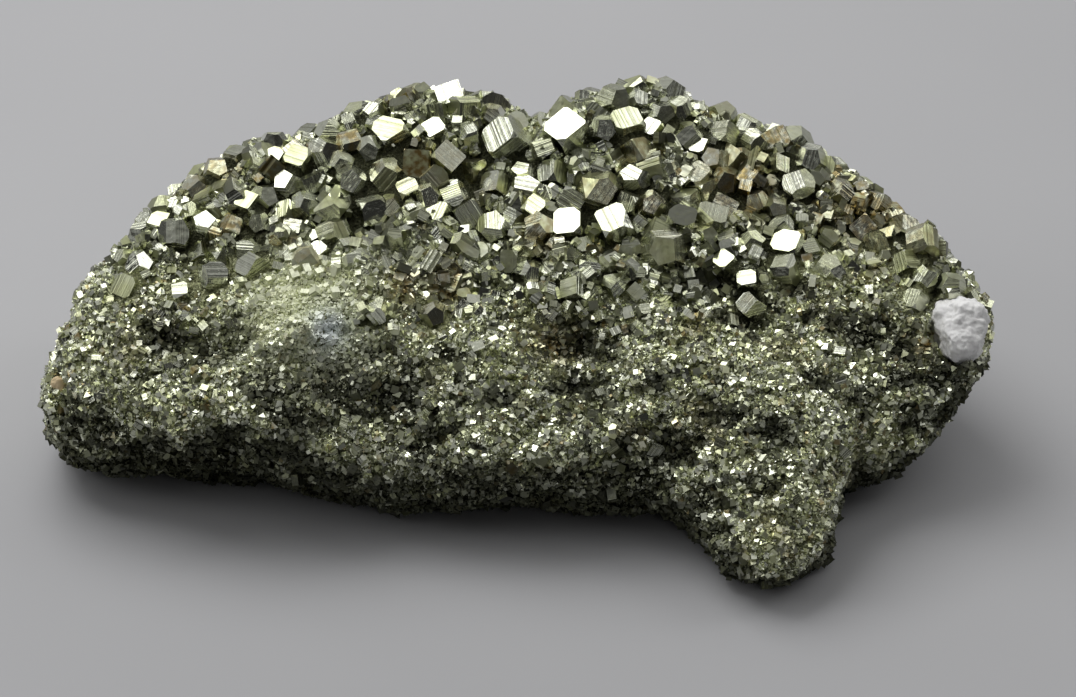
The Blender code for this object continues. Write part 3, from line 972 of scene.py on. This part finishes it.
def set_bump(tree, shader, height, depth):
    """Bump of the given height, with its depth in millimetres."""
    bump = add(tree, "ShaderNodeBump", {"Height": height, "Distance": depth * MM, "Strength": 1.0})
    tree.links.new(bump.outputs[0], shader.inputs["Normal"])


def tarnish_share(tree, place):
    """How tarnished: at its places, broken up by specks, and a little in patches by chance."""
    speck = noise_value(tree, place, 0.9, 3.0)
    broken_up = ranged(tree, speck, 0.35, 0.60, 0.1, 1.0)
    stain = calc(tree, "MULTIPLY", attribute(tree, "tarnish"), broken_up)
    patches = ranged(tree, noise_value(tree, place, 0.12, 2.0), 0.58, 0.72, 0.0, 0.55)
    return calc(tree, "MAXIMUM", stain, calc(tree, "MULTIPLY", patches, speck))


def striations(tree, tone):
    """Height of the striations, and how far painted shade darkens their grooves on each face."""
    line = add(
        tree,
        "ShaderNodeTexNoise",
        {"W": attribute(tree, "stripe"), "Scale": 1.7, "Detail": 3.0, "Roughness": 0.7},
        noise_dimensions="1D",
    ).outputs["Fac"]
    chance = calc(tree, "FRACT", calc(tree, "MULTIPLY", tone, 17.0), 0.0)
    depth = ranged(tree, chance, 0.25, 0.8, 0.1, 1.0)
    ridges = calc(tree, "MULTIPLY", calc(tree, "MULTIPLY", line, depth), 6.0)
    return ridges, calc(tree, "MULTIPLY", ranged(tree, line, 0.46, 0.36, 0.0, 0.5), depth)


def pyrite_material(name, striated, bright, olive, roughness_range):
    """Metallic pyrite: pale brass to olive from face to face, brown where tarnished, and etched."""
    made, tree, shader = new_material(name)
    place = millimetres(tree)
    tone = attribute(tree, "tone")
    painted_shade_and_soot = attribute(tree, "painted_shade_and_soot")
    satin = attribute(tree, "satin")
    pale = attribute(tree, "pale")
    stain = tarnish_share(tree, place)
    cloud = noise_value(tree, place, 0.22, 3.0)
    share = ranged(tree, calc(tree, "MULTIPLY", cloud, tone), 0.10, 0.55, 0.0, 1.0)
    colour = blend_colours(tree, share, bright, olive)
    colour = blend_colours(tree, stain, colour, blend_colours(tree, tone, LIGHT_TARNISH, DARK_TARNISH))
    # Painted shade, with real soot on some faces, darkens the colour
    colour = blend_colours(tree, painted_shade_and_soot, colour, SHADE_AND_SOOT_COLOUR)
    colour = blend_colours(tree, calc(tree, "MULTIPLY", satin, 0.92), colour, SATIN)
    colour = blend_colours(tree, pale, colour, PALE)
    dusty = calc(tree, "MAXIMUM", calc(tree, "MULTIPLY", satin, 0.8), calc(tree, "MULTIPLY", pale, 0.9))
    tree.links.new(calc(tree, "SUBTRACT", 1.0, dusty), shader.inputs["Metallic"])
    rough = ranged(tree, tone, 0.0, 1.0, *roughness_range)
    for part, rougher in ((painted_shade_and_soot, 0.2), (stain, 0.12), (dusty, 0.35)):
        rough = calc(tree, "ADD", rough, calc(tree, "MULTIPLY", part, rougher))
    etch = noise_value(tree, place, 5.0, 4.0, 0.6)
    sway = noise_value(tree, place, 0.8, 1.0)
    height = calc(tree, "ADD", calc(tree, "MULTIPLY", etch, 0.30), calc(tree, "MULTIPLY", sway, 2.4))
    if striated:
        ridges, groove_shade = striations(tree, tone)
        height = calc(tree, "ADD", height, ridges)
        # Painted shade in the grooves of the striations
        colour = blend_colours(tree, groove_shade, colour, GROOVE_SHADE_COLOUR)
        rough = calc(tree, "ADD", rough, calc(tree, "MULTIPLY", groove_shade, 0.15))
    mottle = ranged(tree, noise_value(tree, place, 1.6, 4.0, 0.65), 0.52, 0.75, 0.0, 0.35)
    colour = blend_colours(tree, mottle, colour, MOTTLE)
    tree.links.new(colour, shader.inputs["Base Color"])
    tree.links.new(rough, shader.inputs["Roughness"])
    set_bump(tree, shader, height, 0.03)
    return made


def bed_material():
    """The fine ground between the grains: dull dark pyrite with small glints."""
    made, tree, shader = new_material("pyrite_bed")
    place = millimetres(tree)
    cells = add(tree, "ShaderNodeTexVoronoi", {"Vector": place, "Scale": 2.4})
    grain = calc(tree, "MULTIPLY", cells.outputs["Color"], noise_value(tree, place, 0.3, 4.0))
    share = ranged(tree, grain, 0.05, 0.5, 0.0, 1.0)
    colour = blend_colours(tree, share, BED_DARK, BED_LIGHT)
    # Painted shade darkens the bed in the recesses, hollows, low down, in the undercut, under the
    # overhang and among the coarse crystals
    colour = blend_colours(tree, attribute(tree, "painted_shade_and_soot"), colour, BED_SHADE_COLOUR)
    tree.links.new(colour, shader.inputs["Base Color"])
    shader.inputs["Metallic"].default_value = 0.95
    rough = ranged(tree, grain, 0.0, 0.6, 0.55, 0.25)
    tree.links.new(rough, shader.inputs["Roughness"])
    height = calc(tree, "SUBTRACT", noise_value(tree, place, 5.0, 3.0), cells.outputs["Distance"])
    set_bump(tree, shader, height, 0.4)
    return made


def gangue_material():
    """Dull white mineral, a little greyer in places, with a gritty surface."""
    made, tree, shader = new_material("white_gangue_finish")
    place = millimetres(tree)
    colour = blend_colours(tree, noise_value(tree, place, 0.5, 4.0), *WHITES)
    tree.links.new(colour, shader.inputs["Base Color"])
    rough = ranged(tree, noise_value(tree, place, 2.0, 2.0), 0.2, 0.8, 0.6, 0.9)
    tree.links.new(rough, shader.inputs["Roughness"])
    grit = calc(tree, "ADD", noise_value(tree, place, 2.5, 4.0), noise_value(tree, place, 12.0, 2.0))
    set_bump(tree, shader, grit, 0.1)
    return made


def floor_material():
    made, tree, shader = new_material("pale_floor")
    place = millimetres(tree)
    colour = blend_colours(tree, noise_value(tree, place, 0.01, 3.0), *FLOOR_GREYS)
    tree.links.new(colour, shader.inputs["Base Color"])
    shader.inputs["Roughness"].default_value = 0.85
    shader.inputs["Specular IOR Level"].default_value = 0.2
    return made


def stone_material():
    """Tan stone."""
    made, tree, shader = new_material("tan_stone_finish")
    place = millimetres(tree)
    colour = blend_colours(tree, noise_value(tree, place, 1.2, 4.0), *TANS)
    tree.links.new(colour, shader.inputs["Base Color"])
    rough = ranged(tree, noise_value(tree, place, 3.0, 2.0), 0.2, 0.8, 0.5, 0.8)
    tree.links.new(rough, shader.inputs["Roughness"])
    grit = noise_value(tree, place, 4.0, 4.0)
    set_bump(tree, shader, grit, 0.1)
    return made


# Pieces of the specimen


def tan_grain(finish):
    """The rounded grain of tan stone grown into the left end."""
    bm = bmesh.new()
    bmesh.ops.create_icosphere(bm, subdivisions=4, radius=1.0)
    points = np.array([v.co for v in bm.verts])
    corners = [v.index for f in bm.faces for v in f.verts]
    bm.free()
    points *= 1.0 + 0.25 * rough_noise(points, 0.9, 3, 4.0)[:, None]
    points = points * np.array(TAN_GRAIN_HALF) + np.array(TAN_GRAIN)
    pyrite_piece(
        new_piece("tan_grain", points, corners, np.full(len(corners) // 3, 3), finish, smooth=True)
    )


def white_lump(finish):
    """The white lump, with broken faces and a gritty surface."""
    points, triangles = welded("white_gangue")
    whole = new_piece("lump", points, triangles.ravel(), np.full(len(triangles), 3), None)
    whole = broken(whole, points.mean(axis=0))
    points, normals, quads = remeshed(whole, LUMP_VOXEL, LUMP_SMOOTHING)
    bumps = LUMP_BUMPS[1] * rough_noise(points, LUMP_BUMPS[0], 3)
    grit = LUMP_GRIT[1] * rough_noise(points, LUMP_GRIT[0], 3, 5.0)
    points = points + normals * (bumps + grit)[:, None]
    piece = new_piece("white_lump", points, quads.ravel(), np.full(len(quads), 4), finish, smooth=True)
    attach(piece, "root")
    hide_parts("white_gangue")


def broken(whole, middle):
    """The lump with flat breaks on its open side, each cut square to a direction from the middle."""
    bm = bmesh.new()
    bm.from_mesh(whole.data)
    bmesh.ops.transform(bm, matrix=placing_matrix().inverted(), verts=bm.verts)
    bmesh.ops.translate(bm, vec=-Vector(middle), verts=bm.verts)
    for direction, distance in LUMP_BREAKS:
        grind(bm, Vector(direction).normalized(), distance)
    bmesh.ops.translate(bm, vec=Vector(middle), verts=bm.verts)
    bmesh.ops.transform(bm, matrix=placing_matrix(), verts=bm.verts)
    bm.to_mesh(whole.data)
    bm.free()
    return whole


def pyrite_piece(piece):
    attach(piece, "root")
    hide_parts("pyrite_mass")


def grow_everything():
    points, triangles = welded("pyrite_mass")
    crystal = crystals_of(points, triangles)
    in_patch = rolled_off(points[triangles].mean(axis=1), [FINEST_PATCH]) > PATCH_CORE
    crystal[np.isin(crystal, crystal[in_patch])] = ROCK
    rng = np.random.default_rng(SEED)
    coarse_finish = pyrite_material("pyrite_crystal", True, *CRYSTAL_COLOURS, CRYSTAL_ROUGHNESS)
    fine_finish = pyrite_material("pyrite_druse", False, *DRUSE_COLOURS, DRUSE_ROUGHNESS)
    bed = Bed(points, triangles, crystal)
    ground = new_piece(
        "druse_bed",
        bed.points,
        bed.quads.ravel(),
        np.full(len(bed.quads), 4),
        bed_material(),
        smooth=True,
    )
    # Painted shade on the bed, strong among the coarse crystals
    shade_share = np.maximum(painted_shade(bed.points, bed.smooth_normals), 0.85 * coarseness(bed.points))
    add_values(ground, "painted_shade_and_soot", "POINT", shade_share)
    pyrite_piece(ground)
    pyrite_piece(standing_crystals(points, triangles, crystal, coarse_finish, rng))
    shapes = {habit: [cut_crystal(habit, rng) for _ in range(VARIANTS)] for habit in HABITS}
    shapes["stepped"] = [stepped_crystal(rng) for _ in range(VARIANTS)]

    coarse = coarseness(bed.centre)
    front = facing_front(bed.normal)

    grow_coarse(bed, coarse, shapes, coarse_finish, rng)
    medium = medium_share(bed, front)
    grow_medium(bed, coarse, medium, shapes, coarse_finish, rng)
    grow_fine(bed, coarse, medium, front, shapes, fine_finish, rng)


def chosen_shapes(shapes, counts):
    """The first few variants of each habit, in the given numbers."""
    return [shape for habit, count in counts.items() for shape in shapes[habit][:count]]


def grow_coarse(bed, coarse, shapes, finish, rng):
    """Large crystals between those of the solid."""
    places, normals = bed.spots(COARSE_DENSITY * coarse * bed.free, rng)
    radii = mixed(*COARSE_RADII, rng.random(len(places)) ** COARSE_RARITY)
    radii *= mixed(SMALLER_AT_EDGE, 1.0, smoothstep(*EDGE_WIDTH, above_edge(places)))
    centres = lifted(places, normals, radii, COARSE_LIFT, rng)
    clear = in_box(centres, radii)
    centres, normals, radii = centres[clear], normals[clear], radii[clear]
    kept = spaced_out(centres, radii, COARSE_GAP)
    chosen = chosen_shapes(shapes, COARSE_HABITS)
    pyrite_piece(
        grown_piece(
            "coarse_crystals",
            chosen,
            centres[kept],
            normals[kept],
            radii[kept],
            COARSE_SHADE,
            finish,
            rng,
        )
    )


def medium_share(bed, front):
    """1 where medium crystals grew: below the coarse ones, at the left end and over the crest."""
    near = smoothstep(*MEDIUM_EDGE, above_edge(bed.centre)) * front
    left = smoothstep(*LEFT_END, bed.centre[:, 0])
    left *= mixed(*LEFT_SHARE, smoothstep(*LEFT_HEIGHT, bed.centre[:, 2]))
    crest = smoothstep(*CREST_HEIGHT, bed.centre[:, 2]) * (1.0 - front)
    share = np.maximum(np.maximum(near, left), crest)
    share = np.maximum(share, LARGE_GRAINED_SHARE * rolled_off(bed.centre, LARGE_GRAINED))
    return share * (1.0 - 0.9 * rolled_off(bed.centre, [FINEST_PATCH]))


def grow_medium(bed, coarse, medium, shapes, finish, rng):
    """Crystals of one to two millimetres, with a few on the front."""
    density = np.maximum(MEDIUM_DENSITY * medium, MEDIUM_AMONG_COARSE * coarse)
    density = np.maximum(density, MEDIUM_ELSEWHERE) * bed.free
    places, normals = bed.spots(density, rng)
    radii = mixed(*MEDIUM_RADII, rng.random(len(places)) ** MEDIUM_RARITY)
    radii *= mixed(SMALLER_AT_LEFT, 1.0, smoothstep(*LEFT_WIDTH, places[:, 0]))
    centres = lifted(places, normals, radii, MEDIUM_LIFT, rng)
    centres += normals * (coarseness(places) * rng.uniform(0.0, 1.0, len(radii)))[:, None]
    kept = spaced_out(centres, radii, MEDIUM_GAP)
    kept = kept[in_box(centres[kept], radii[kept])]
    chosen = chosen_shapes(shapes, MEDIUM_HABITS)
    pyrite_piece(
        grown_piece(
            "medium_crystals",
            chosen,
            centres[kept],
            normals[kept],
            radii[kept],
            MEDIUM_SHADE,
            finish,
            rng,
        )
    )


def grow_fine(bed, coarse, medium, front, shapes, finish, rng):
    """The druse: fine on the front, finest in one patch, and larger on the back and underside."""
    fine = (1.0 - 0.75 * coarse) * (1.0 - 0.5 * medium)
    patch = rolled_off(bed.centre, [FINEST_PATCH])
    density = mixed(*FINE_DENSITY, front) * fine * bed.free * (1.0 + PATCH_DENSER * patch)
    places, normals = bed.spots(density, rng)
    radii = mixed(*FINE_RADII, rng.random(len(places)) ** FINE_RARITY)
    in_patch = rolled_off(places, [FINEST_PATCH])
    radii *= mixed(LARGER_BEHIND, 1.0, facing_front(normals)) * mixed(1.0, PATCH_SMALLER, in_patch)
    centres = lifted(places, normals, radii, FINE_LIFT, rng)
    clear = in_box(centres, radii)
    centres, normals, radii = centres[clear], normals[clear], radii[clear]
    chosen = chosen_shapes(shapes, FINE_HABITS)
    order = rng.permutation(len(centres))
    for number, part in enumerate(np.array_split(order, math.ceil(len(order) / MOST_GRAINS))):
        pyrite_piece(
            grown_piece(
                f"fine_druse_{number}",
                chosen,
                centres[part],
                normals[part],
                radii[part],
                FINE_SHADE,
                finish,
                rng,
            )
        )


# Stage


def aimed(place, aim):
    return (Vector(aim) - Vector(place)).to_track_quat("-Z", "Y").to_euler()


def glowing_world():
    """A soft glow from above and behind, dark towards the front and the horizon."""
    world = bpy.data.worlds.new("studio")
    world.use_nodes = True
    tree = world.node_tree
    sky = tree.nodes["Background"]
    direction = add(tree, "ShaderNodeTexCoord").outputs["Generated"]
    towards = Vector(GLOW_FROM).normalized()
    facing = add(
        tree, "ShaderNodeVectorMath", {0: direction, 1: towards}, operation="DOT_PRODUCT"
    ).outputs["Value"]
    strength = add(
        tree,
        "ShaderNodeMapRange",
        {"Value": facing, 1: GLOW_RANGE[0], 2: GLOW_RANGE[1], 3: DARK_STRENGTH, 4: GLOW_STRENGTH},
        interpolation_type="SMOOTHSTEP",
    ).outputs[0]
    sky.inputs["Color"].default_value = (1.0, 1.0, 1.0, 1.0)
    tree.links.new(strength, sky.inputs["Strength"])
    return world


def set_stage():
    bpy.ops.mesh.primitive_plane_add(size=FLOOR_SIDE * MM)
    floor = bpy.context.object
    floor.name = "floor"
    floor.data.materials.append(floor_material())
    centre = (Vector(DATUM) + Vector(CAMERA_AIM)) * MM
    for name, (direction, width, height, distance, radiance) in LIGHTS.items():
        light = bpy.data.lights.new(name, "AREA")
        light.shape = "RECTANGLE"
        light.size = width * MM
        light.size_y = height * MM
        light.energy = radiance * math.pi * light.size * light.size_y
        lamp = bpy.data.objects.new(name, light)
        lamp.location = centre + Vector(direction).normalized() * distance * MM
        lamp.rotation_euler = aimed(lamp.location, centre)
        bpy.context.scene.collection.objects.link(lamp)
    bpy.context.scene.world = glowing_world()
    bpy.context.scene.view_settings.view_transform = "Standard"


def set_camera():
    centre = (Vector(DATUM) + Vector(CAMERA_AIM)) * MM
    back = Vector((0.0, -math.cos(CAMERA_ELEVATION), math.sin(CAMERA_ELEVATION)))
    data = bpy.data.cameras.new("camera")
    data.lens = CAMERA_LENS
    data.sensor_width = CAMERA_SENSOR
    data.clip_start = 0.01
    camera = bpy.data.objects.new("camera", data)
    camera.location = centre + back * CAMERA_DISTANCE * MM
    camera.rotation_euler = (math.pi / 2 - CAMERA_ELEVATION, 0.0, 0.0)
    bpy.context.scene.collection.objects.link(camera)
    bpy.context.scene.camera = camera


TARNISHED = on_solid(SEEN_STAINS) + OTHER_STAINS
RECESSES = on_solid(SEEN_RECESSES) + OTHER_RECESSES

set_camera()
set_stage()
grow_everything()
white_lump(gangue_material())
tan_grain(stone_material())
